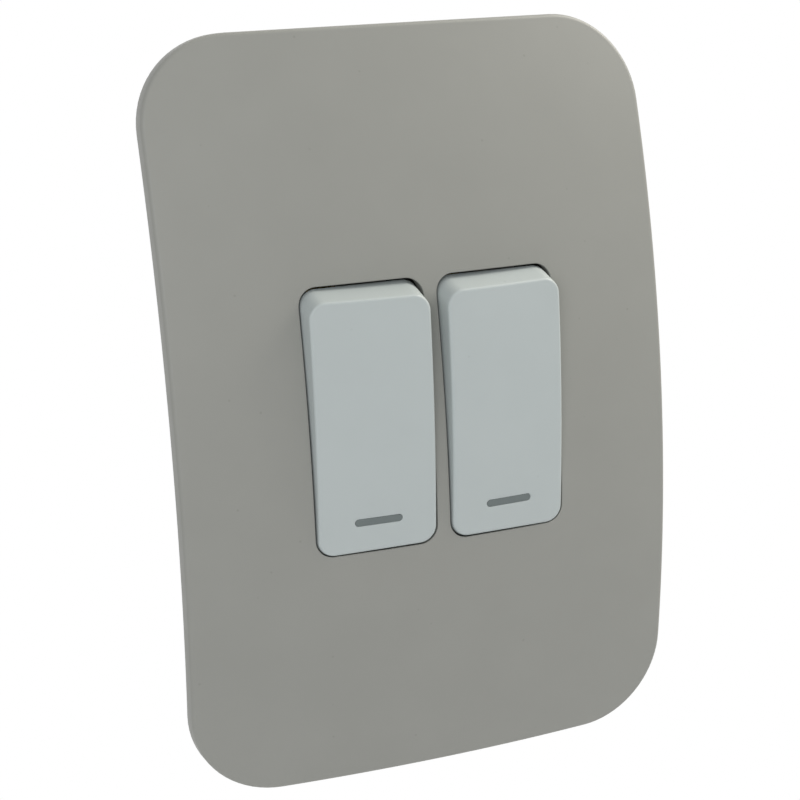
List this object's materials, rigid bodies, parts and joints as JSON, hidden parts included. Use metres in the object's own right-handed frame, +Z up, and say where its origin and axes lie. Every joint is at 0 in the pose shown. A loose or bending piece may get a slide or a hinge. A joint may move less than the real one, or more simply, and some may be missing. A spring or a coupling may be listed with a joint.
{
  "type": "two-gang light switch",
  "caption": "Wall light switch with a domed push-fit cover plate, side-by-side tilting rockers with indicator bars, and switch modules on a steel yoke.",
  "frame": {"origin": "on the wall plane, midway between the fixing holes behind the middle of the plate", "axes": "+X to the right seen from the front, +Y into the wall, +Z up"},
  "size_m": [0.084, 0.0369, 0.121],
  "materials": {
    "plate_grey": "fine satin moulding",
    "rocker_white": "fine satin moulding",
    "indicator_grey": "flush inlay",
    "zinc_steel": "zinc plated",
    "base_plastic": "moulded",
    "collar_plastic": "moulded",
    "plunger_plastic": "moulded",
    "spring_steel": "drawn wire",
    "copper_sheet": "stamped sheet",
    "contact_silver": "coined rivet",
    "terminal_brass": "machined",
    "screw_steel": "plated"
  },
  "bodies": {
    "housing": {"cover_plate": "plate_grey", "mounting_yoke": "zinc_steel", "left_module_base": "base_plastic", "left_module_collar": "collar_plastic", "left_common_terminal": "terminal_brass", "left_switched_terminal": "terminal_brass", "left_fixed_contact": "contact_silver", "left_terminal_screws": "screw_steel", "right_module_base": "base_plastic", "right_module_collar": "collar_plastic", "right_common_terminal": "terminal_brass", "right_switched_terminal": "terminal_brass", "right_fixed_contact": "contact_silver", "right_terminal_screws": "screw_steel"},
    "left_rocker_body": {"left_rocker": "rocker_white", "left_indicator": "indicator_grey", "left_plunger_spring": "spring_steel"},
    "left_plunger_body": {"left_plunger": "plunger_plastic"},
    "left_blade_body": {"left_contact_blade": "copper_sheet", "left_moving_contact": "contact_silver"},
    "right_rocker_body": {"right_rocker": "rocker_white", "right_indicator": "indicator_grey", "right_plunger_spring": "spring_steel"},
    "right_plunger_body": {"right_plunger": "plunger_plastic"},
    "right_blade_body": {"right_contact_blade": "copper_sheet", "right_moving_contact": "contact_silver"}
  },
  "joints": [
    {"name": "left_rocker_tilt", "type": "hinge", "parent": "housing", "child": "left_rocker_body", "pos_m": [-0.01125, -0.0031, 0], "axis": [1, 0, 0], "range_deg": [-10.4, 0]},
    {"name": "left_plunger_slide", "type": "slide", "parent": "left_rocker_body", "child": "left_plunger_body", "axis": [0, -0.9959, -0.0906], "range_m": [0, 0.001], "stiffness_N_per_m": 200, "deforming": ["left_plunger_spring"]},
    {"name": "left_blade_rock", "type": "hinge", "parent": "housing", "child": "left_blade_body", "pos_m": [-0.01125, 0.00982, 0], "axis": [1, 0, 0], "range_deg": [0, 10]},
    {"name": "right_rocker_tilt", "type": "hinge", "parent": "housing", "child": "right_rocker_body", "pos_m": [0.01125, -0.0031, 0], "axis": [1, 0, 0], "range_deg": [-10.4, 0]},
    {"name": "right_plunger_slide", "type": "slide", "parent": "right_rocker_body", "child": "right_plunger_body", "axis": [0, -0.9959, -0.0906], "range_m": [0, 0.001], "stiffness_N_per_m": 200, "deforming": ["right_plunger_spring"]},
    {"name": "right_blade_rock", "type": "hinge", "parent": "housing", "child": "right_blade_body", "pos_m": [0.01125, 0.00982, 0], "axis": [1, 0, 0], "range_deg": [0, 10]}
  ],
  "couplings": [
    {"joint": "left_blade_rock", "follows": "left_rocker_tilt", "ratio": -0.9615},
    {"joint": "right_blade_rock", "follows": "right_rocker_tilt", "ratio": -0.9615}
  ]
}
